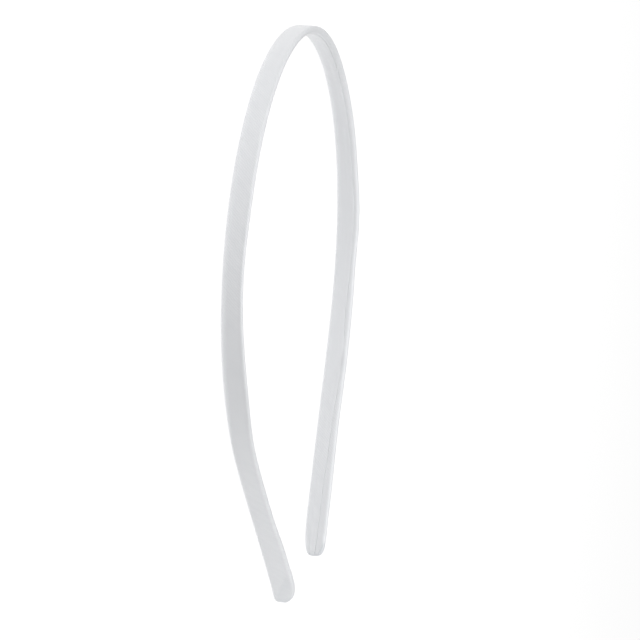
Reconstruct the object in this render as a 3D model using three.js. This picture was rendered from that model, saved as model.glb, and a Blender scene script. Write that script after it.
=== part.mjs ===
// A satin headband: a narrow open hairband, wound in one strip of white satin, lying on its side.
// Millimetres, +Z up. The arch lies level: its crown is towards +Y and its two tips towards -Y.

import * as THREE from "three";

const { clamp, degToRad, lerp, smoothstep } = THREE.MathUtils;

// Arch, along the middle of the band, from the top of the crown down each arm
const CROWN_RADIUS = 61.5;
const CROWN_ARM = 115.5; // keeps the crown's full bend
const SHOULDER_LENGTH = 35; // over which the bend eases to none
const LEG_LENGTH = 50; // from there to the tip
const FLARE_RADIUS = 450; // outward bend that the leg has grown to at its tip

// Wound band: the stiff strip inside and the satin round it, as one thickness
const BAND_WIDTH = 6; // upright as the band lies
const BAND_THICKNESS = 2.2;
const EDGE_RADIUS = 0.85; // of the satin where it rolls over either edge

// Lap of the satin along the inner face
const FLAP_THICKNESS = 0.5;
const FLAP_CLEARANCE = 0.3;
const FLAP_EDGE_RADIUS = 0.2;
const UNDERLAP_DROP = 0.25; // how far the narrow underlap lies behind the flap's face
const LAP_CLOSING_LENGTH = 0.3; // over which the satin closes past the flap's end
const TIP_TUCK = 1.5; // from the flap's end to where the tip's upper edge starts to round

// Tips: the left one is round, the right one squarer, with a long easing of its lower edge.
// nose: height of the very end, as a share of the width. low and high: rounding below and above it.
// thinning: rounding of the thickness. A fullness of 2 gives an ellipse, more a squarer end.
const TIPS = {
  left: {
    nose: 0.39,
    low: { length: 2.8, fullness: 1.8 },
    high: { length: 4.7, fullness: 1.75 },
    thinning: { length: 2, fullness: 2 },
  },
  right: {
    nose: 0.5,
    low: { length: 9, fullness: 3.4 },
    high: { length: 4.2, fullness: 2.9 },
    thinning: { length: 1, fullness: 2 },
  },
};

// How the satin's width and seam wander. along: share of an arm, the left one negative.
// width: share of BAND_WIDTH. seam: height of the flap's edge, as a share of the width there.
const SECTIONS = [
  { along: -1.0, width: 0.905, seam: 0.6 },
  { along: -0.95, width: 1.1, seam: 0.62 },
  { along: -0.9, width: 1.065, seam: 0.65 },
  { along: -0.78, width: 0.97, seam: 0.74 },
  { along: -0.65, width: 0.98, seam: 0.78 },
  { along: -0.55, width: 1.06, seam: 0.79 },
  { along: -0.4, width: 0.935, seam: 0.78 },
  { along: -0.28, width: 1.01, seam: 0.78 },
  { along: 0.0, width: 1.0, seam: 0.79 },
  { along: 0.3, width: 0.93, seam: 0.77 },
  { along: 0.44, width: 0.97, seam: 0.78 },
  { along: 0.52, width: 1.04, seam: 0.8 },
  { along: 0.6, width: 0.95, seam: 0.79 },
  { along: 0.65, width: 0.98, seam: 0.73 },
  { along: 0.73, width: 1.0, seam: 0.81 },
  { along: 0.82, width: 0.97, seam: 0.71 },
  { along: 0.92, width: 1.0, seam: 0.63 },
  { along: 1.0, width: 0.995, seam: 0.6 },
];

// Fineness of the surface
const STATION_SPACING = 5;
const TRACE_STEP = 0.5;
const TIP_STEPS = 8;
const CORNER_STEPS = 4;
const FLAP_EDGE_STEPS = 2;

const ARM_LENGTH = CROWN_ARM + SHOULDER_LENGTH + LEG_LENGTH;
const OUTER_FACE = BAND_THICKNESS / 2;
const FLAP_FACE = -BAND_THICKNESS / 2;
const FLAP_BACK = FLAP_FACE + FLAP_THICKNESS;
const LAP_FLOOR = FLAP_BACK + FLAP_CLEARANCE;
const UNDERLAP_FACE = FLAP_FACE + UNDERLAP_DROP;

// Angle that the band has turned through, from the top of the crown to a distance down an arm.
function turnAt(reach) {
  const round = Math.min(reach, CROWN_ARM);
  const eased = clamp(reach - CROWN_ARM, 0, SHOULDER_LENGTH);
  const flared = Math.max(0, reach - CROWN_ARM - SHOULDER_LENGTH);
  const crownTurn = round / CROWN_RADIUS;
  const shoulderTurn = (eased - eased ** 2 / (2 * SHOULDER_LENGTH)) / CROWN_RADIUS;
  const legTurn = flared ** 2 / (2 * LEG_LENGTH * FLARE_RADIUS);
  return crownTurn + shoulderTurn - legTurn;
}

// Middle of the band and the way its outer face looks, a signed distance from the top of the crown.
function archAt(distance) {
  const side = Math.sign(distance);
  const reach = Math.abs(distance);
  const steps = Math.ceil(reach / TRACE_STEP);
  const step = steps ? reach / steps : 0;
  const middle = new THREE.Vector2();
  for (let i = 0; i < steps; i += 1) {
    const turn = turnAt((i + 0.5) * step);
    middle.x += side * Math.cos(turn) * step;
    middle.y -= Math.sin(turn) * step;
  }
  const turn = turnAt(reach);
  return { middle, outward: new THREE.Vector2(side * Math.sin(turn), Math.cos(turn)) };
}

// Width of the band and height of its seam, eased between the rows of the table.
function sizesAt(distance) {
  const along = distance / ARM_LENGTH;
  const nextIndex = SECTIONS.findIndex((row, index) => index > 0 && row.along >= along);
  const next = SECTIONS.at(nextIndex);
  const last = SECTIONS.at(nextIndex - (nextIndex < 0 ? 0 : 1));
  const blend = next === last ? 0 : smoothstep(along, last.along, next.along);
  const width = BAND_WIDTH * lerp(last.width, next.width, blend);
  return { width, seam: width * lerp(last.seam, next.seam, blend) };
}

// Points of a round corner, as (depth, height), in anticlockwise order.
function corner(depth, height, radius, fromDegrees, toDegrees, steps) {
  const points = [];
  for (let i = 0; i <= steps; i += 1) {
    const angle = degToRad(lerp(fromDegrees, toDegrees, i / steps));
    points.push(new THREE.Vector2(depth + radius * Math.cos(angle), height + radius * Math.sin(angle)));
  }
  return points;
}

// Section of the cover. lap is 1 where the flap lies in it and 0 where the satin has closed over.
function coverSection(width, seam, lap) {
  const top = width - EDGE_RADIUS;
  const floor = lerp(FLAP_FACE, LAP_FLOOR, lap);
  const seamHeight = seam + FLAP_CLEARANCE;
  const rolled = corner(FLAP_FACE + EDGE_RADIUS, EDGE_RADIUS, EDGE_RADIUS, 180, 270, CORNER_STEPS);
  rolled.forEach((point, index) => {
    const underFlap = new THREE.Vector2(LAP_FLOOR, EDGE_RADIUS * (1 - index / CORNER_STEPS));
    point.lerp(underFlap, lap);
  });
  return [
    ...corner(OUTER_FACE - EDGE_RADIUS, EDGE_RADIUS, EDGE_RADIUS, 270, 360, CORNER_STEPS),
    ...corner(OUTER_FACE - EDGE_RADIUS, top, EDGE_RADIUS, 0, 90, CORNER_STEPS),
    ...corner(UNDERLAP_FACE + EDGE_RADIUS, top, EDGE_RADIUS, 90, 180, CORNER_STEPS),
    new THREE.Vector2(UNDERLAP_FACE, seamHeight),
    new THREE.Vector2(floor, seamHeight),
    ...rolled,
  ];
}

// Section of the flap, from its folded edge at the seam down to the rolled resting edge.
function flapSection(seam) {
  const rolledTurn = 90 - Math.asin(Math.max(0, 1 - FLAP_THICKNESS / EDGE_RADIUS)) / degToRad(1);
  const foldHeight = seam - FLAP_EDGE_RADIUS;
  return [
    ...corner(FLAP_BACK - FLAP_EDGE_RADIUS, foldHeight, FLAP_EDGE_RADIUS, 0, 90, FLAP_EDGE_STEPS),
    ...corner(FLAP_FACE + FLAP_EDGE_RADIUS, foldHeight, FLAP_EDGE_RADIUS, 90, 180, FLAP_EDGE_STEPS),
    ...corner(FLAP_FACE + EDGE_RADIUS, EDGE_RADIUS, EDGE_RADIUS, 180, 180 + rolledTurn, CORNER_STEPS),
  ];
}

// Share of the full size that a rounding leaves at a distance from the very end.
function roundedShare(rounding, fromEnd) {
  const short = clamp(1 - fromEnd / rounding.length, 0, 1);
  return (1 - short ** rounding.fullness) ** (1 / rounding.fullness);
}

// A place along the band and how much its tip narrows and thins it there. lap: see coverSection.
function stationAt(distance, lap) {
  const tip = distance < 0 ? TIPS.left : TIPS.right;
  const fromEnd = ARM_LENGTH - Math.abs(distance);
  return {
    distance,
    lap,
    nose: tip.nose,
    low: roundedShare(tip.low, fromEnd),
    high: roundedShare(tip.high, fromEnd),
    thickness: roundedShare(tip.thinning, fromEnd),
  };
}

// A section set upright across the arch, narrowed towards the tip's nose and thinned.
function ring(section, station, width) {
  const { middle, outward } = archAt(station.distance);
  const nose = station.nose * width;
  return section.map((point) => {
    const depth = point.x * station.thickness;
    const height = nose + (point.y - nose) * (point.y > nose ? station.high : station.low);
    return new THREE.Vector3(middle.x + outward.x * depth, middle.y + outward.y * depth, height);
  });
}

// Closed body through rings of as many points each, capped flat at both ends.
function loft(rings, firstSection, lastSection) {
  const count = firstSection.length;
  const faces = [];
  for (let ringIndex = 0; ringIndex < rings.length - 1; ringIndex += 1) {
    for (let i = 0; i < count; i += 1) {
      const here = ringIndex * count + i;
      const beside = ringIndex * count + ((i + 1) % count);
      faces.push(here, beside, beside + count);
      faces.push(here, beside + count, here + count);
    }
  }
  const lastRing = (rings.length - 1) * count;
  for (const [a, b, c] of THREE.ShapeUtils.triangulateShape(firstSection, [])) {
    faces.push(a, c, b);
  }
  for (const [a, b, c] of THREE.ShapeUtils.triangulateShape(lastSection, [])) {
    faces.push(lastRing + a, lastRing + b, lastRing + c);
  }
  const geometry = new THREE.BufferGeometry().setFromPoints(rings.flat());
  geometry.setIndex(faces);
  geometry.computeVertexNormals();
  return geometry;
}

// Distances from one end to the other, evenly spaced.
function evenly(from, to) {
  const steps = Math.ceil((to - from) / STATION_SPACING);
  return Array.from({ length: steps + 1 }, (_, i) => lerp(from, to, i / steps));
}

// Stations over a rounded tip, closest at its end, to where its upper edge runs straight.
function tipStations(side, tip) {
  const stations = [];
  for (let i = 1; i <= TIP_STEPS; i += 1) {
    const fromEnd = tip.high.length * (i / TIP_STEPS) ** 2;
    stations.push(stationAt(side * (ARM_LENGTH - fromEnd), 0));
  }
  return stations;
}

// Where the flap ends on one arm.
function flapEnd(tip) {
  return ARM_LENGTH - tip.high.length - TIP_TUCK;
}

// The cover: outer face, both rolled edges, underlap and closed tips, with a bed for the flap.
function coverGeometry() {
  const bedLeft = -flapEnd(TIPS.left) - FLAP_CLEARANCE;
  const bedRight = flapEnd(TIPS.right) + FLAP_CLEARANCE;
  const stations = [
    ...tipStations(-1, TIPS.left),
    stationAt(bedLeft - LAP_CLOSING_LENGTH, 0),
    ...evenly(bedLeft, bedRight).map((distance) => stationAt(distance, 1)),
    stationAt(bedRight + LAP_CLOSING_LENGTH, 0),
    ...tipStations(1, TIPS.right).reverse(),
  ];
  const sections = stations.map((station) => {
    const { width, seam } = sizesAt(station.distance);
    return { width, outline: coverSection(width, seam, station.lap) };
  });
  const rings = sections.map(({ width, outline }, index) => ring(outline, stations[index], width));
  return loft(rings, sections[0].outline, sections.at(-1).outline);
}

// The flap: the satin's free edge, folded over the resting edge and laid along the inner face.
function flapGeometry() {
  const distances = evenly(-flapEnd(TIPS.left), flapEnd(TIPS.right));
  const sections = distances.map((distance) => flapSection(sizesAt(distance).seam));
  const rings = sections.map((outline, index) => {
    const distance = distances[index];
    return ring(outline, stationAt(distance, 1), sizesAt(distance).width);
  });
  return loft(rings, sections[0], sections.at(-1));
}

// White satin, a little cool, with a soft sheen.
function satin() {
  return new THREE.MeshStandardMaterial({ color: 0xe9edf0, roughness: 0.45, metalness: 0 });
}

function named(name, geometry) {
  const mesh = new THREE.Mesh(geometry, satin());
  mesh.name = name;
  return mesh;
}

// The arch is drawn from the top of its crown, then set with the origin at the centre of its base.
function buildHeadband() {
  const arch = new THREE.Group();
  arch.add(named("satin_cover", coverGeometry()));
  arch.add(named("lap_flap", flapGeometry()));
  const centre = new THREE.Box3().setFromObject(arch).getCenter(new THREE.Vector3());
  arch.position.set(-centre.x, -centre.y, 0);
  const headband = new THREE.Group();
  headband.add(arch);
  return headband;
}

export default buildHeadband();
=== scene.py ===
import logging
import math
from dataclasses import astuple, dataclass, field
from enum import Enum, IntEnum
from functools import cached_property
from itertools import accumulate

import bpy
from mathutils import Matrix, Vector, noise


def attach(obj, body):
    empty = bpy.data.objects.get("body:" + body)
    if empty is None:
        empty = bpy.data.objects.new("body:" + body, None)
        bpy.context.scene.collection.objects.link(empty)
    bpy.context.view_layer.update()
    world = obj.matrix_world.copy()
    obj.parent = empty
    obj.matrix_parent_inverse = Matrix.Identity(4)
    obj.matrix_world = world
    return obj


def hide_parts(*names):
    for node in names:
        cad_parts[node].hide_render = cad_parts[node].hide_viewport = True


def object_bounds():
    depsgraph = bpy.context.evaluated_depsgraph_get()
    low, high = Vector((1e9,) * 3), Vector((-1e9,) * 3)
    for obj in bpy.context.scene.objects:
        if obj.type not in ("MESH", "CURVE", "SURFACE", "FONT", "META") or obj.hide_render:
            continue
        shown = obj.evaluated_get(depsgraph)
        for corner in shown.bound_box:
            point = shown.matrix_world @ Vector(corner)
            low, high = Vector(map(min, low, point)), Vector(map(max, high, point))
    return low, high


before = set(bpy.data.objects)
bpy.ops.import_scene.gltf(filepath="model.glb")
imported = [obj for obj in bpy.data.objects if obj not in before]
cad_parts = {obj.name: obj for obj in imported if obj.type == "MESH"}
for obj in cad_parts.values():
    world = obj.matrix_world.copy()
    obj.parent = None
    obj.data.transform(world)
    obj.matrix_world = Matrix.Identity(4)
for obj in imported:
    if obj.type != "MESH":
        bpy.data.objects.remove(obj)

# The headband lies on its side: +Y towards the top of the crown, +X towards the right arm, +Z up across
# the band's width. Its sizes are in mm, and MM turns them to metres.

FRAME_BOX = [list(corner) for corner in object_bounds()]

log = logging.getLogger("headband")

MM = 0.001

# Angles round the band's section, in degrees
OUTWARDS = 0.0
UPWARDS = 90.0
INWARDS = 180.0
DOWNWARDS = -90.0

# What the satin's mesh carries for its finish
CLOTH_MAP = "cloth_mm"  # a place on the flat strip, along and across, in mm
PAINTED_SHADE_MAP = "painted_shade"  # how far the satin is darkened with painted shade, from 0 to 1

Point = tuple[float, float]  # a place or half axes on the band's section, as (depth, height) in mm


class Arm(Enum):
    """The two arms of the band, valued by the side of the arch that they lie on."""

    LEFT = -1
    RIGHT = 1


class Face(Enum):
    """The band's two broad faces, valued by the way they look."""

    OUTER = 1
    INNER = -1

    @classmethod
    def at(cls, depth: float) -> "Face":
        """Return the face that lies on a depth's side of the band's middle."""
        return cls.OUTER if depth > 0 else cls.INNER


class MixInput(IntEnum):
    """The inputs of a Mix node, which share names and so go by number."""

    FACTOR = 0
    NUMBER_A = 2
    NUMBER_B = 3
    COLOUR_A = 6
    COLOUR_B = 7


class MixOutput(IntEnum):
    """The outputs of a Mix node, by number."""

    NUMBER = 0
    COLOUR = 2


def linear(hex_colour: str) -> tuple[float, float, float, float]:
    """Turn an sRGB hex colour into linear red, green, blue and alpha.

    Args:
        hex_colour: six hex digits.

    Returns:
        Four linear numbers, the last of them 1.
    """
    shares = [int(hex_colour[i : i + 2], 16) / 255 for i in (0, 2, 4)]
    curve = [c / 12.92 if c <= 0.04045 else ((c + 0.055) / 1.055) ** 2.4 for c in shares]
    return (*curve, 1.0)


def ease(value: float, start: float, end: float) -> float:
    """Ease from 0 at start to 1 at end.

    Args:
        value: the number to place.
        start: where the ease begins.
        end: where it is complete.

    Returns:
        A share from 0 to 1.
    """
    share = min(1.0, max(0.0, (value - start) / (end - start)))
    return share * share * (3 - 2 * share)


def mix(low: float, high: float, share: float) -> float:
    """Return the number that lies a share of the way from low to high."""
    return low + (high - low) * share


def straight(start: Point, end: Point, steps: int) -> list[Point]:
    """Return the points strictly between two ends of a straight run, cut into equal steps."""
    shares = [i / steps for i in range(1, steps)]
    return [(mix(start[0], end[0], share), mix(start[1], end[1], share)) for share in shares]


def corner(centre: Point, radii: Point, start: float, end: float, steps: int) -> list[Point]:
    """Trace a round or oval corner.

    Args:
        centre: its centre.
        radii: its half axes along depth and height.
        start: first angle, in degrees.
        end: last angle, in degrees.
        steps: number of steps.

    Returns:
        The points along it, both ends with them.
    """
    angles = [math.radians(mix(start, end, i / steps)) for i in range(steps + 1)]
    return [(centre[0] + radii[0] * math.cos(a), centre[1] + radii[1] * math.sin(a)) for a in angles]


def lengths_along(path: list[Point]) -> list[float]:
    """Return each point's distance from the start of a path, measured along it."""
    return list(accumulate((math.dist(here, after) for here, after in zip(path, path[1:])), initial=0.0))


def node(
    tree: bpy.types.NodeTree,
    kind: str,
    settings: dict[str | int, object] | None = None,
    links: dict[str | int, bpy.types.NodeSocket] | None = None,
) -> bpy.types.Node:
    """Add one shader node.

    Args:
        tree: the material's node tree.
        kind: Blender's name for the kind of node.
        settings: values by attribute name, or by input name or number.
        links: outputs of other nodes by the name or number of the input that they feed.

    Returns:
        The new node.
    """
    made = tree.nodes.new(kind)
    for name, value in (settings or {}).items():
        if isinstance(name, str) and hasattr(made, name):
            setattr(made, name, value)
        else:
            made.inputs[name].default_value = value
    for name, output in (links or {}).items():
        tree.links.new(output, made.inputs[name])
    return made


@dataclass(frozen=True)
class WhiteSatin:
    """White polyester satin: bright filament woven in long floats, cut on the bias.

    The floats lie side by side, which gives the eye a soft, broad sheen and no sparkle. The bias cut turns
    them into faint diagonal lines. Towards the ends and beside the tips' folds, the cloth is darkened and
    greyed with painted shade.

    Attributes:
        colour: the satin where its threads catch the light.
        shade: the satin between the threads and in the darker streaks.
        painted_shade_colour: the satin at full painted shade.
        bias: angle between the threads and the strip, in degrees.
        thread_spacing_mm: from thread to thread. Real ones lie 0.1 mm apart, too fine to show, so these are
            as coarse as they need to be.
        thread_wander: how far the threads wander from straight lines.
        wander_scale: how quickly that wander changes, against the threads' own scale.
        wander_detail: how many finer layers of wander lie over it.
        streaks_per_mm: across and along the threads, for streaks about 1.4 mm broad and 5 mm long.
        streak_detail: fineness of the streaks' edges.
        streak_roughness: strength of that fineness.
        streak_share: share of the streaks in the tone. The threads have the rest.
        relief: strength of the threads' relief.
        relief_height_mm: height of that relief.
        roughness: smooth filament, dulled by the weave.
        ior: a little under polyester's 1.57, for the soft gloss of thread.
        sheen: the loose fibres' share of the gloss at a slant.
        sheen_roughness: how far that gloss spreads.
    """

    colour: str = "EEEFF1"
    shade: str = "DEE0E3"
    # The colour of full painted shade, at the ends, the pinched rims and the tips' folds
    painted_shade_colour: str = "C4C9CE"
    bias: float = 45.0
    thread_spacing_mm: float = 0.55
    thread_wander: float = 4.5
    wander_scale: float = 2.0
    wander_detail: float = 2.0
    streaks_per_mm: tuple[float, float] = (0.7, 0.2)
    streak_detail: float = 3.0
    streak_roughness: float = 0.55
    streak_share: float = 0.6
    relief: float = 0.12
    relief_height_mm: float = 0.05
    roughness: float = 0.42
    ior: float = 1.5
    sheen: float = 0.3
    sheen_roughness: float = 0.4

    def weave(self, tree: bpy.types.NodeTree) -> bpy.types.NodeSocket:
        """Add the threads and the streaks, which follow the strip of cloth in mm.

        Args:
            tree: the material's node tree.

        Returns:
            Their tone, from 0 to 1.
        """
        cloth = node(tree, "ShaderNodeUVMap", {"uv_map": CLOTH_MAP})
        turned = node(
            tree,
            "ShaderNodeMapping",
            {"Rotation": (0, 0, math.radians(self.bias))},
            {"Vector": cloth.outputs["UV"]},
        )
        # A wave texture's bands lie tau / 20 of a unit apart at scale 1
        threads = node(
            tree,
            "ShaderNodeTexWave",
            {
                "wave_type": "BANDS",
                "bands_direction": "X",
                "Scale": math.tau / (20 * self.thread_spacing_mm),
                "Distortion": self.thread_wander,
                "Detail": self.wander_detail,
                "Detail Scale": self.wander_scale,
            },
            {"Vector": turned.outputs["Vector"]},
        )
        stretched = node(
            tree,
            "ShaderNodeMapping",
            {"Scale": (*self.streaks_per_mm, 1)},
            {"Vector": turned.outputs["Vector"]},
        )
        streaks = node(
            tree,
            "ShaderNodeTexNoise",
            {"Scale": 1.0, "Detail": self.streak_detail, "Roughness": self.streak_roughness},
            {"Vector": stretched.outputs["Vector"]},
        )
        tone = node(
            tree,
            "ShaderNodeMix",
            {"data_type": "FLOAT", MixInput.FACTOR: self.streak_share},
            {MixInput.NUMBER_A: threads.outputs["Fac"], MixInput.NUMBER_B: streaks.outputs["Fac"]},
        )
        return tone.outputs[MixOutput.NUMBER]

    def build(self) -> bpy.types.Material:
        """Build the node tree.

        Returns:
            The material.
        """
        material = bpy.data.materials.new("white_satin_woven")
        material.use_nodes = True
        tree = material.node_tree
        tree.nodes.clear()
        tone = self.weave(tree)
        clean = node(
            tree,
            "ShaderNodeMix",
            {
                "data_type": "RGBA",
                MixInput.COLOUR_A: linear(self.shade),
                MixInput.COLOUR_B: linear(self.colour),
            },
            {MixInput.FACTOR: tone},
        )
        # Painted shade: the satin darkens by the mesh's painted-shade share, at the ends, the rims and the
        # tips' folds
        painted_shade = node(tree, "ShaderNodeAttribute", {"attribute_name": PAINTED_SHADE_MAP})
        shaded = node(
            tree,
            "ShaderNodeMix",
            {"data_type": "RGBA", MixInput.COLOUR_B: linear(self.painted_shade_colour)},
            {MixInput.FACTOR: painted_shade.outputs["Fac"], MixInput.COLOUR_A: clean.outputs[MixOutput.COLOUR]},
        )
        raised = node(
            tree,
            "ShaderNodeBump",
            {"Strength": self.relief, "Distance": self.relief_height_mm * MM},
            {"Height": tone},
        )
        satin = node(
            tree,
            "ShaderNodeBsdfPrincipled",
            {
                "Roughness": self.roughness,
                "IOR": self.ior,
                "Sheen Weight": self.sheen,
                "Sheen Roughness": self.sheen_roughness,
            },
            {"Base Color": shaded.outputs[MixOutput.COLOUR], "Normal": raised.outputs["Normal"]},
        )
        node(tree, "ShaderNodeOutputMaterial", {}, {"Surface": satin.outputs["BSDF"]})
        return material


@dataclass(frozen=True)
class OpalAcrylic:
    """Opal acrylic sheet with a matt, cast surface, lit softly from below as on a light table.

    It gives the eye an even, pale floor with hardly a shadow, and it lights the band's lower edge.

    Attributes:
        colour: the light that comes through it.
        glow: strength of that light.
        surface: the sheet's own colour, for the light that falls on it.
        roughness: a matt surface, which mirrors nothing.
        gloss: what is left of the gloss on it.
    """

    colour: str = "F2F2F2"
    glow: float = 0.93
    surface: str = "8A8A8A"
    roughness: float = 0.9
    gloss: float = 0.1

    def build(self) -> bpy.types.Material:
        """Build the node tree.

        Returns:
            The material.
        """
        material = bpy.data.materials.new("opal_acrylic_matt")
        material.use_nodes = True
        tree = material.node_tree
        tree.nodes.clear()
        acrylic = node(
            tree,
            "ShaderNodeBsdfPrincipled",
            {
                "Base Color": linear(self.surface),
                "Roughness": self.roughness,
                "Specular IOR Level": self.gloss,
                "Emission Color": linear(self.colour),
                "Emission Strength": self.glow,
            },
        )
        node(tree, "ShaderNodeOutputMaterial", {}, {"Surface": acrylic.outputs["BSDF"]})
        return material


@dataclass(frozen=True)
class Rounding:
    """How an edge closes towards the very end of an arm.

    Attributes:
        length: distance from the end over which it closes, in mm.
        fullness: 2 for an ellipse, more for a squarer end.
    """

    length: float
    fullness: float

    def share(self, from_end: float) -> float:
        """Return the share of the full size that is left at a distance from the end."""
        short = min(1.0, max(0.0, 1 - from_end / self.length))
        return (1 - short**self.fullness) ** (1 / self.fullness)


@dataclass(frozen=True)
class Crease:
    """A diagonal fold of the satin near a tip: a soft step along a line, fading away from it.

    Attributes:
        face: the face of the band that it lies on.
        start: where it starts, as (distance from the end, height), in mm.
        finish: where it runs out, as (distance from the end, height), in mm.
        lift: how far the upper layer stands over the lower one, in mm.
        softness: width of the step, in mm.
        fade: distance over which the upper layer sinks back, in mm.
        painted_shade: how far the folded side is darkened with the fold's painted shadow, from 0 to 1.
        opening: shares of the line between which the fold opens.
        closing: shares of the line between which it closes.
    """

    face: Face
    start: tuple[float, float]
    finish: tuple[float, float]
    lift: float
    softness: float
    fade: float
    painted_shade: float
    opening: tuple[float, float] = (-0.15, 0.15)
    closing: tuple[float, float] = (0.75, 1.15)

    def fold_at(self, from_end: float, height: float) -> float:
        """Work out how much of the fold's step is there at one place.

        Args:
            from_end: distance from the end of the arm.
            height: height on the face.

        Returns:
            A share from 0 to 1.
        """
        run = Vector(self.finish) - Vector(self.start)
        place = Vector((from_end, height)) - Vector(self.start)
        along = place.dot(run) / run.length_squared
        beside = (place.x * run.y - place.y * run.x) / run.length
        open_here = ease(along, *self.opening) * (1 - ease(along, *self.closing))
        step = ease(beside, -self.softness / 2, self.softness / 2)
        return open_here * step * (1 - ease(beside, 0.0, self.fade))


@dataclass(frozen=True)
class Tip:
    """The rounded end of one arm.

    Attributes:
        nose: height of the very end, as a share of the width.
        low: rounding below the nose.
        high: rounding above the nose.
        thinning: rounding of the thickness.
        painted_shade_reach: distance from the end over which the satin is darkened with painted shade, in
            mm.
        painted_shade: how dark that painted shade is there, from 0 to 1.
        pleat_height: height of the lengthwise pleats that run out from the end, in mm.
        crease: the fold of the satin near the end.
    """

    nose: float
    low: Rounding
    high: Rounding
    thinning: Rounding
    painted_shade_reach: float
    painted_shade: float
    pleat_height: float
    crease: Crease


# A round nose near the lower edge, and a long, soft fold that slants down across the outer face. The end
# and the fold's side are darkened with painted shade
LEFT_TIP = Tip(
    nose=0.31,
    low=Rounding(length=2.05, fullness=1.8),
    high=Rounding(length=5.0, fullness=1.85),
    thinning=Rounding(length=2.5, fullness=2.5),
    painted_shade_reach=5.0,
    painted_shade=0.3,
    pleat_height=0.03,
    crease=Crease(
        face=Face.OUTER,
        start=(12.5, 4.5),
        finish=(2.5, 0.5),
        lift=0.3,
        softness=0.7,
        fade=5.0,
        painted_shade=0.2,
    ),
)

# A blunt, full end, with pleats and a short fold in the upper corner of the inner face, darkened with
# painted shadow, and painted shade at the end
RIGHT_TIP = Tip(
    nose=0.5,
    low=Rounding(length=16.0, fullness=3.5),
    high=Rounding(length=5.9, fullness=3.4),
    thinning=Rounding(length=0.6, fullness=1.8),
    painted_shade_reach=1.2,
    painted_shade=0.12,
    pleat_height=0.11,
    crease=Crease(
        face=Face.INNER,
        start=(3.7, 5.5),
        finish=(0.1, 4.7),
        lift=0.12,
        softness=0.3,
        fade=3.0,
        painted_shade=0.42,
    ),
)


@dataclass(frozen=True)
class Section:
    """Width, seam and rolls of the wound satin at one place along the band.

    Attributes:
        along: share of an arm's length from the top of the crown, the left arm negative.
        width: share of the band's width.
        seam: height of the folded edge, as a share of the width there.
        outer_roll: height over which the outer face rolls in towards the lower edge, in mm.
        inner_roll: the same of the inner face.
    """

    along: float
    width: float
    seam: float
    outer_roll: float
    inner_roll: float


@dataclass(frozen=True)
class TraceSteps:
    """How many steps each stretch of the wound section is traced in, once round the band."""

    hidden_underlap: int = 3
    groove: int = 5
    underlap: int = 4
    upper_corner: int = 7
    outer_face: int = 18
    outer_roll: int = 9
    inner_roll: int = 7
    flap: int = 22
    fold: int = 8


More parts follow.
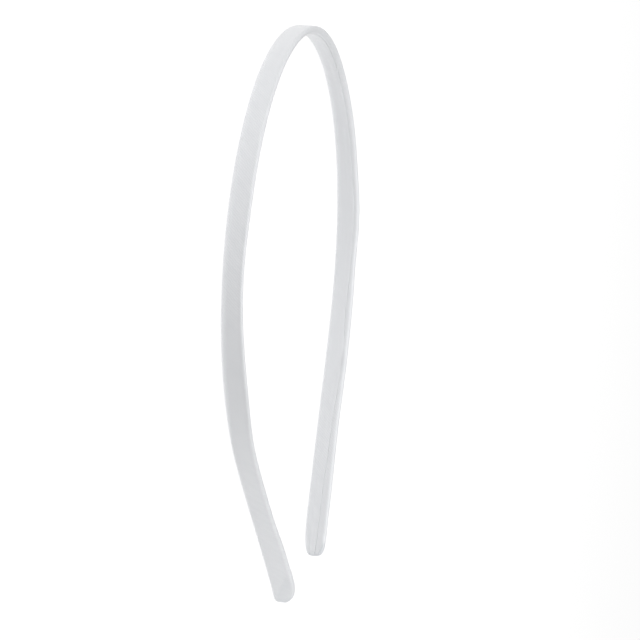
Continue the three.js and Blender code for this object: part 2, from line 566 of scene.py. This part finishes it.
@dataclass
class SatinWrap:
    """The strip of satin that is wound round the band and lapped along the inner face. Sizes in mm.

    Attributes:
        crown_radius: radius of the crown, to the middle of the band.
        crown_arm: length of the round crown on each side of its top.
        shoulder_length: length over which the crown's bend eases out.
        leg_length: length of each leg.
        flare_radius: radius that the legs have bent out to at the tips.
        trace_step: step in which the middle of the band is traced.
        band_width: from the lower to the upper edge.
        band_thickness: from the inner to the outer face.
        edge_radius: of the roll over the upper edge, from the outer face.
        underlap_radius: of the same roll, from the underlap.
        cloth: thickness of the satin.
        underlap_drop: how far the underlap lies behind the flap.
        groove_depth: of the underlap beside the fold.
        groove_length: over which the underlap rises from it.
        groove_middle: share of that depth left halfway.
        groove_wrap: angle that the underlap follows the fold round, in degrees.
        underlap_cover: hidden part of the underlap, below the seam.
        hem_length: of the flap's edge that is folded under.
        hem_rise: how far it lifts the flap.
        hem_reach: how far below the seam it still does so.
        fold_gap: air between two layers of satin.
        wave: depth of the faces' shallow waves.
        wave_length: of those waves, along the band.
        wave_breadth: of those waves, across the band.
        wave_depths: depths between which the waves and pleats come in, so that they leave the edges alone.
        wave_layer: layer of the noise that the outer face's waves take. The inner face's is its negative.
        pleat_breadth: of the pleats at the tips.
        pleat_start: distance from the end at which they begin to sink.
        pleat_reach: distance from the end at which they are gone.
        pleat_layer: layer of the noise that the pleats take in the same way.
        crease_depths: depths between which a crease comes in, so that it shows on the rolls too.
        painted_shade_core: share of the painted shade's reach over which it is darkest.
        rim_reach: of the pinched rim, from the very end.
        rim_painted_shade: how far that rim is darkened with painted shade, where the fold closes, from 0 to
            1.
        station_spacing: from one section to the next, between the tips.
        tip_steps: number of sections over each tip.
        steps: how finely each section is traced.
        tips: the end of each arm.
        sections: how width, seam and rolls wander along the band.
    """

    crown_radius: float = 61.5
    crown_arm: float = 115.5
    shoulder_length: float = 35.0
    leg_length: float = 50.0
    flare_radius: float = 450.0
    trace_step: float = 0.25
    band_width: float = 6.0
    band_thickness: float = 2.2
    edge_radius: float = 0.85
    underlap_radius: float = 1.15
    cloth: float = 0.22
    underlap_drop: float = 0.14
    groove_depth: float = 0.06
    groove_length: float = 0.3
    groove_middle: float = 0.35
    groove_wrap: float = 104.0
    underlap_cover: float = 2.0
    hem_length: float = 1.25
    hem_rise: float = 0.13
    hem_reach: float = 1.8
    fold_gap: float = 0.02
    wave: float = 0.05
    wave_length: float = 11.0
    wave_breadth: float = 3.5
    wave_depths: tuple[float, float] = (0.55, 0.95)
    wave_layer: float = 5.0
    pleat_breadth: float = 0.7
    pleat_start: float = 1.0
    pleat_reach: float = 13.0
    pleat_layer: float = 9.0
    crease_depths: tuple[float, float] = (0.1, 0.5)
    painted_shade_core: float = 0.4
    rim_reach: float = 0.9
    rim_painted_shade: float = 0.25
    station_spacing: float = 1.0
    tip_steps: int = 26
    steps: TraceSteps = TraceSteps()
    tips: dict[Arm, Tip] = field(default_factory=lambda: {Arm.LEFT: LEFT_TIP, Arm.RIGHT: RIGHT_TIP})
    sections: tuple[Section, ...] = (
        # along, width, seam, outer roll, inner roll
        Section(-1.0, 0.905, 0.6, 0.7, 0.7),
        Section(-0.95, 1.1, 0.62, 0.7, 0.7),
        Section(-0.9, 1.065, 0.65, 0.7, 0.8),
        Section(-0.78, 0.97, 0.74, 0.75, 0.85),
        Section(-0.65, 0.98, 0.78, 0.9, 0.85),
        Section(-0.55, 1.06, 0.79, 1.7, 0.85),
        Section(-0.4, 0.935, 0.78, 1.9, 0.85),
        Section(-0.28, 1.01, 0.78, 2.1, 0.85),
        Section(0.0, 1.0, 0.79, 1.7, 1.3),
        Section(0.3, 0.93, 0.77, 1.1, 1.7),
        Section(0.44, 0.97, 0.78, 1.1, 1.7),
        Section(0.52, 1.04, 0.8, 1.0, 1.0),
        Section(0.6, 0.95, 0.79, 0.9, 0.8),
        Section(0.65, 0.98, 0.73, 0.85, 0.8),
        Section(0.73, 1.0, 0.81, 0.85, 0.8),
        Section(0.82, 0.97, 0.71, 0.85, 0.75),
        Section(0.92, 1.0, 0.63, 0.8, 0.7),
        Section(1.0, 0.995, 0.6, 0.75, 0.7),
    )

    @property
    def crown_height(self) -> float:
        """Return the distance from the origin to the middle of the band at the top of the crown."""
        return FRAME_BOX[1][1] / MM - self.band_thickness / 2

    @property
    def arm_length(self) -> float:
        """Return the length of one arm, from the top of the crown to its tip."""
        return self.crown_arm + self.shoulder_length + self.leg_length

    @property
    def face_depth(self) -> float:
        """Return the depth of the outer face. The inner face lies as deep on the other side."""
        return self.band_thickness / 2

    @property
    def fold_radius(self) -> float:
        """Return the outer radius of the flap's folded edge."""
        return self.cloth + self.fold_gap

    def turn_at(self, reach: float) -> float:
        """Add up how far the band has turned at a place down an arm.

        Args:
            reach: distance from the top of the crown.

        Returns:
            The angle from level, in radians.
        """
        crown = min(reach, self.crown_arm)
        eased = min(max(reach - self.crown_arm, 0.0), self.shoulder_length)
        flared = max(0.0, reach - self.crown_arm - self.shoulder_length)
        shoulder = (eased - eased**2 / (2 * self.shoulder_length)) / self.crown_radius
        leg = flared**2 / (2 * self.leg_length * self.flare_radius)
        return crown / self.crown_radius + shoulder - leg

    @cached_property
    def middle_line(self) -> list[tuple[float, float]]:
        """Trace the middle of the band down one arm.

        Returns:
            Points as (across, down), one trace step apart, from the top of the crown to the tip.
        """
        points = [(0.0, 0.0)]
        for index in range(math.ceil(self.arm_length / self.trace_step)):
            turn = self.turn_at((index + 0.5) * self.trace_step)
            across, down = points[-1]
            across += math.cos(turn) * self.trace_step
            points.append((across, down + math.sin(turn) * self.trace_step))
        return points

    def arch_at(self, distance: float) -> tuple[Vector, Vector]:
        """Place the middle of the band and the way its outer face looks.

        Args:
            distance: signed distance from the top of the crown, left negative.

        Returns:
            The point and the outward direction, both level.
        """
        side = -1.0 if distance < 0 else 1.0
        reach = abs(distance)
        index = min(int(reach / self.trace_step), len(self.middle_line) - 2)
        share = reach / self.trace_step - index
        here, after = self.middle_line[index : index + 2]
        across = side * mix(here[0], after[0], share)
        turn = self.turn_at(reach)
        middle = Vector((across, self.crown_height - mix(here[1], after[1], share), 0))
        return middle, Vector((side * math.sin(turn), math.cos(turn), 0))

    def section_at(self, distance: float) -> Section:
        """Ease between the rows of the table of sections.

        Args:
            distance: signed distance from the top of the crown.

        Returns:
            The satin's section there.
        """
        along = distance / self.arm_length
        after = next((i for i, row in enumerate(self.sections) if i and row.along >= along), -1)
        low, high = self.sections[after - 1], self.sections[after]
        share = ease(along, low.along, high.along)
        return Section(*(mix(a, b, share) for a, b in zip(astuple(low), astuple(high))))

    def tip_at(self, distance: float) -> tuple[Tip, float]:
        """Return the tip of the arm that a place lies on, and the place's distance from its end."""
        arm = Arm.LEFT if distance < 0 else Arm.RIGHT
        return self.tips[arm], self.arm_length - abs(distance)

    def trace_underlap(self, width: float, seam: float) -> list[Point]:
        """Trace the underlap from its hidden edge, up round the flap's fold, to the upper edge.

        Args:
            width: width of the band there.
            seam: height of the folded edge.

        Returns:
            The points of the satin's outer side.
        """
        inner = -self.face_depth
        shown = inner + self.underlap_drop
        hidden = inner + 2 * self.fold_radius + self.fold_gap
        fold_centre = (inner + self.fold_radius, seam - self.fold_radius)
        top = width - self.underlap_radius
        flat = min(seam + self.groove_length, top - self.fold_gap)
        edge = (hidden, seam - self.underlap_cover)
        around = (self.fold_radius + self.fold_gap,) * 2
        points = [edge, *straight(edge, (hidden, fold_centre[1]), self.steps.hidden_underlap)]
        points += corner(fold_centre, around, OUTWARDS, self.groove_wrap, self.steps.groove)
        points += [(shown + self.groove_depth * self.groove_middle, mix(seam, flat, 0.5)), (shown, flat)]
        points += straight((shown, flat), (shown, top), self.steps.underlap)
        upper = (shown + self.underlap_radius, top)
        points += corner(upper, (self.underlap_radius,) * 2, INWARDS, UPWARDS, self.steps.upper_corner)
        return points

    def trace_outer(self, width: float, roll: Point) -> list[Point]:
        """Trace the outer face from the top of the upper edge to the bottom of the lower one.

        Args:
            width: width of the band there.
            roll: half axes of its roll into the lower edge.

        Returns:
            The points of the satin's outer side.
        """
        centre = (self.face_depth - self.edge_radius, width - self.edge_radius)
        upper = corner(centre, (self.edge_radius,) * 2, UPWARDS, OUTWARDS, self.steps.upper_corner)
        low_centre = (self.face_depth - roll[0], roll[1])
        lower = corner(low_centre, roll, OUTWARDS, DOWNWARDS, self.steps.outer_roll)
        return upper + straight(upper[-1], lower[0], self.steps.outer_face) + lower

    def trace_flap(self, seam: float, roll: Point) -> list[Point]:
        """Trace the flap from the lower edge up to its fold, and the hem folded under it.

        Args:
            seam: height of the folded edge.
            roll: half axes of the inner face's roll out of the lower edge.

        Returns:
            The points of the satin's outer side, as far as the hem's raw edge.
        """
        inner = -self.face_depth
        rolled = corner((inner + roll[0], roll[1]), roll, DOWNWARDS, -INWARDS, self.steps.inner_roll)
        fold_centre = (inner + self.fold_radius, seam - self.fold_radius)
        turn = corner(fold_centre, (self.fold_radius,) * 2, INWARDS, OUTWARDS, self.steps.fold)
        face = rolled + straight(rolled[-1], turn[0], self.steps.flap)
        lifted = [(depth - self.hem_lift(height, seam), height) for depth, height in face]
        return lifted + turn + [(inner + 2 * self.fold_radius, seam - self.hem_length)]

    def hem_lift(self, height: float, seam: float) -> float:
        """Return how far the hem inside lifts the flap at a height."""
        below = (seam - height) / self.hem_reach
        return self.hem_rise * math.sin(math.pi * min(1.0, max(0.0, below))) ** 2

    def path(self, section: Section) -> list[Point]:
        """Trace the satin's outer side once round the band.

        Args:
            section: the satin's sizes there.

        Returns:
            The points, from the hidden edge of the underlap to the raw edge of the hem.
        """
        width = self.band_width * section.width
        seam = width * section.seam
        share = min(1.0, self.band_thickness / (section.outer_roll + section.inner_roll))
        points = self.trace_underlap(width, seam)
        points += self.trace_outer(width, (section.outer_roll * share, section.outer_roll))
        return points + self.trace_flap(seam, (section.inner_roll * share, section.inner_roll))

    def rippled(self, path: list[Point], distance: float) -> list[Point]:
        """Give the satin's faces their shallow waves, pleats and creases.

        Args:
            path: the outer side at one place along the band.
            distance: signed distance of that place from the top of the crown.

        Returns:
            The path with its faces moved by a few hundredths of a millimetre, more at a crease.
        """
        tip, from_end = self.tip_at(distance)
        along = distance / self.wave_length
        pleats = tip.pleat_height * (1 - ease(from_end, self.pleat_start, self.pleat_reach))
        moved = []
        for depth, height in path:
            face = Face.at(depth)
            # The waves only sink the face, so the band grows no thicker by them
            wave_at = Vector((along, height / self.wave_breadth, face.value * self.wave_layer))
            pleat_at = Vector((along, height / self.pleat_breadth, face.value * self.pleat_layer))
            lift = pleats * noise.noise(pleat_at) - self.wave * (0.5 + 0.5 * noise.noise(wave_at))
            lift *= ease(abs(depth), *self.wave_depths)
            if tip.crease.face is face:
                fold = tip.crease.lift * tip.crease.fold_at(from_end, height)
                lift += fold * ease(abs(depth), *self.crease_depths)
            moved.append((depth + face.value * lift, height))
        return moved

    def painted_shade_at(self, path: list[Point], distance: float) -> list[float]:
        """Tell how far the satin is darkened with painted shade, round one section.

        Args:
            path: the outer side at one place along the band.
            distance: signed distance of that place from the top of the crown.

        Returns:
            A share from 0 to 1 for each point.
        """
        tip, from_end = self.tip_at(distance)
        # Painted shade towards the end, deeper at the pinched rim, and painted shadow beside the tip's fold
        shaded = tip.painted_shade * (1 - ease(from_end, self.painted_shade_core * tip.painted_shade_reach, tip.painted_shade_reach))
        rim = self.rim_painted_shade * (1 - ease(from_end, 0.0, self.rim_reach))
        shares = []
        for depth, height in path:
            creased = tip.crease.face is Face.at(depth)
            fold = tip.crease.painted_shade * tip.crease.fold_at(from_end, height) if creased else 0.0
            shares.append(max(shaded + rim, fold))
        return shares

    def lining(self, path: list[Point]) -> list[Point]:
        """Trace the satin's hidden side, one cloth thickness inside the outer side.

        Args:
            path: the outer side.

        Returns:
            As many points, in the same order.
        """
        inner = []
        for index, (depth, height) in enumerate(path):
            before = path[max(0, index - 1)]
            after = path[min(len(path) - 1, index + 1)]
            run = Vector((after[0] - before[0], after[1] - before[1])).normalized()
            inner.append((depth + run.y * self.cloth, height - run.x * self.cloth))
        return inner

    def stations(self) -> list[float]:
        """List where the sections stand, closest together over the tips.

        Returns:
            Signed distances from the top of the crown, from the left tip to the right one.
        """
        ends = {}
        for arm, tip in self.tips.items():
            shares = [(i / self.tip_steps) ** 2 for i in range(1, self.tip_steps + 1)]
            ends[arm] = [arm.value * (self.arm_length - tip.high.length * share) for share in shares]
        start, end = ends[Arm.LEFT][-1], ends[Arm.RIGHT][-1]
        count = math.ceil((end - start) / self.station_spacing)
        between = [mix(start, end, i / count) for i in range(1, count)]
        return ends[Arm.LEFT] + between + ends[Arm.RIGHT][::-1]

    def ring(self, distance: float, width: float, loop: list[Point]) -> list[Vector]:
        """Set a section upright across the arch, narrowed towards the nose of the tip and thinned.

        Args:
            distance: signed distance from the top of the crown.
            width: width of the band there.
            loop: the section, outer side and lining.

        Returns:
            Its points in metres.
        """
        tip, from_end = self.tip_at(distance)
        low, high = tip.low.share(from_end), tip.high.share(from_end)
        thickness = tip.thinning.share(from_end)
        middle, outward = self.arch_at(distance)
        nose = tip.nose * width
        points = []
        for depth, height in loop:
            level = nose + (height - nose) * (high if height > nose else low)
            points.append((middle + outward * (depth * thickness) + Vector((0, 0, level))) * MM)
        return points

    def faces(self, rings: int, count: int) -> list[tuple[int, ...]]:
        """Join the rings into one closed skin, with a cap at each end.

        Args:
            rings: number of rings.
            count: number of points in each.

        Returns:
            The faces, as the numbers of their points.
        """
        faces = []
        for first in range(0, (rings - 1) * count, count):
            for index in range(count):
                here, beside = first + index, first + (index + 1) % count
                faces.append((here, here + count, beside + count, beside))
        last = (rings - 1) * count
        faces.append(tuple(range(count)))
        faces.append(tuple(range(last, last + count))[::-1])
        return faces

    def build(self, finish: bpy.types.Material) -> bpy.types.Object:
        """Build the wound satin.

        Args:
            finish: the satin's material.

        Returns:
            The finished piece.
        """
        vertices, cloth_at, painted_shade = [], [], []
        stations = self.stations()
        for distance in stations:
            section = self.section_at(distance)
            outer_side = self.rippled(self.path(section), distance)
            loop = outer_side + self.lining(outer_side)[::-1]
            vertices += self.ring(distance, self.band_width * section.width, loop)
            across = lengths_along(outer_side)
            cloth_at += [(distance, place) for place in across + across[::-1]]
            shares = self.painted_shade_at(outer_side, distance)
            painted_shade += shares + shares[::-1]
        mesh = bpy.data.meshes.new("satin_wrap")
        mesh.from_pydata(vertices, [], self.faces(len(stations), len(vertices) // len(stations)))
        mesh.polygons.foreach_set("use_smooth", [True] * len(mesh.polygons))
        layer = mesh.uv_layers.new(name=CLOTH_MAP)
        for loop in mesh.loops:
            layer.data[loop.index].uv = cloth_at[loop.vertex_index]
        # Each point's share of painted shade, for the satin's material
        mesh.attributes.new(PAINTED_SHADE_MAP, "FLOAT", "POINT").data.foreach_set("value", painted_shade)
        mesh.materials.append(finish)
        mesh.update()
        piece = bpy.data.objects.new("satin_wrap", mesh)
        bpy.context.scene.collection.objects.link(piece)
        return piece

    def declare(self, piece: bpy.types.Object) -> None:
        """Hide the frame's satin_cover and lap_flap, which the piece stands in for, and hang it on the root
        body.

        Args:
            piece: the wound satin.
        """
        width = lengths_along(self.path(self.section_at(0.0)))[-1]
        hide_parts("satin_cover", "lap_flap")
        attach(piece, "root")


@dataclass(frozen=True)
class Softbox:
    """A square soft light.

    Attributes:
        name: what the light is called in the scene.
        place: where its middle hangs, in metres.
        aim: the point that it faces, in metres.
        size: length of its sides, in metres.
        power: in watts.
    """

    name: str
    place: tuple[float, float, float]
    aim: tuple[float, float, float]
    size: float
    power: float

    def hang(self) -> None:
        """Add the light to the scene."""
        light = bpy.data.lights.new(self.name, "AREA")
        light.shape = "SQUARE"
        light.size = self.size
        light.energy = self.power
        lamp = bpy.data.objects.new(self.name, light)
        lamp.location = self.place
        look = Vector(self.aim) - Vector(self.place)
        lamp.rotation_euler = look.to_track_quat("-Z", "Y").to_euler()
        bpy.context.scene.collection.objects.link(lamp)


@dataclass(frozen=True)
class PhotoCamera:
    """The camera at the photo's viewing angle, rolled as the photo is, and fitted to the band's outline.

    Attributes:
        place: where it stands, in metres.
        azimuth: the side that it looks from, in degrees. 0 looks along +Y.
        elevation: how far it looks down, in degrees.
        roll: how far it is turned about its own line of sight, in degrees.
        focal_length: of its lens, in mm.
        sensor_width: in mm.
        near: distance at which its view begins, in metres.
        far: distance at which its view ends, in metres.
    """

    place: tuple[float, float, float] = (-0.97318, 0.39171, 0.25746)
    azimuth: float = -111.9795
    elevation: float = 13.2705
    roll: float = 94.1791
    focal_length: float = 229.74
    sensor_width: float = 36.0
    near: float = 0.01
    far: float = 50.0

    def turned(self) -> Matrix:
        """Work out which way the camera is turned.

        Returns:
            Its rotation.
        """
        azimuth, elevation, roll = (math.radians(a) for a in (self.azimuth, self.elevation, self.roll))
        level = math.cos(elevation)
        back = Vector((math.sin(azimuth) * level, -math.cos(azimuth) * level, math.sin(elevation)))
        sideways = Vector((0, 0, 1)).cross(back).normalized()
        steep = back.cross(sideways)
        right = sideways * math.cos(roll) + steep * math.sin(roll)
        return Matrix((right, back.cross(right), back)).transposed()

    def stand(self) -> None:
        """Add the camera to the scene and look through it."""
        lens = bpy.data.cameras.new("photo_camera")
        lens.sensor_fit = "HORIZONTAL"
        lens.sensor_width = self.sensor_width
        lens.lens = self.focal_length
        lens.clip_start = self.near
        lens.clip_end = self.far
        camera = bpy.data.objects.new("photo_camera", lens)
        camera.matrix_world = Matrix.Translation(self.place) @ self.turned().to_4x4()
        bpy.context.scene.collection.objects.link(camera)
        bpy.context.scene.camera = camera


@dataclass
class Studio:
    """The pale floor, the soft lights and the camera. Sizes in metres.

    Attributes:
        floor_size: length of the floor's sides.
        air_colour: of the even light from all round.
        air_strength: strength of that light.
        softboxes: the lights over the crown, overhead and before the tips.
        camera: the photo's camera.
        view_transform: how Blender shows colours, here with no film look.
    """

    floor_size: float = 8.0
    air_colour: str = "FFFFFF"
    air_strength: float = 0.16
    softboxes: tuple[Softbox, ...] = (
        Softbox("crown_softbox", place=(-0.2, 0.9, 0.5), aim=(0, 0, 0), size=0.8, power=3.9),
        Softbox("overhead_softbox", place=(0.0, 0.0, 1.0), aim=(0, 0, 0), size=0.8, power=7.6),
        Softbox("tip_softbox", place=(-0.06, -0.33, 0.12), aim=(-0.03, -0.06, 0), size=0.2, power=0.275),
    )
    camera: PhotoCamera = PhotoCamera()
    view_transform: str = "Standard"

    def lay_floor(self) -> None:
        """Lay the pale floor under the band."""
        half = self.floor_size / 2
        mesh = bpy.data.meshes.new("studio_floor")
        corners = [(-half, -half, 0), (half, -half, 0), (half, half, 0), (-half, half, 0)]
        mesh.from_pydata(corners, [], [(0, 1, 2, 3)])
        mesh.materials.append(OpalAcrylic().build())
        floor = bpy.data.objects.new("studio_floor", mesh)
        bpy.context.scene.collection.objects.link(floor)

    def light_air(self) -> None:
        """Light the band evenly from all round."""
        world = bpy.data.worlds.new("studio_air")
        world.use_nodes = True
        air = world.node_tree.nodes["Background"]
        air.inputs["Color"].default_value = linear(self.air_colour)
        air.inputs["Strength"].default_value = self.air_strength
        bpy.context.scene.world = world

    def build(self) -> None:
        """Set up the floor, the lights, the camera and the plain view of colours."""
        self.lay_floor()
        self.light_air()
        for softbox in self.softboxes:
            softbox.hang()
        self.camera.stand()
        bpy.context.scene.view_settings.view_transform = self.view_transform


def main() -> None:
    """Build the studio and the headband in order."""
    logging.basicConfig(level=logging.INFO, format="%(name)s: %(message)s")
    studio = Studio()
    studio.build()
    log.info("studio: floor, %d softboxes and the camera", len(studio.softboxes))
    wrap = SatinWrap()
    piece = wrap.build(WhiteSatin().build())
    wrap.declare(piece)
    log.info("%s: %d points, %d faces", piece.name, len(piece.data.vertices), len(piece.data.polygons))


if __name__ == "__main__":
    main()
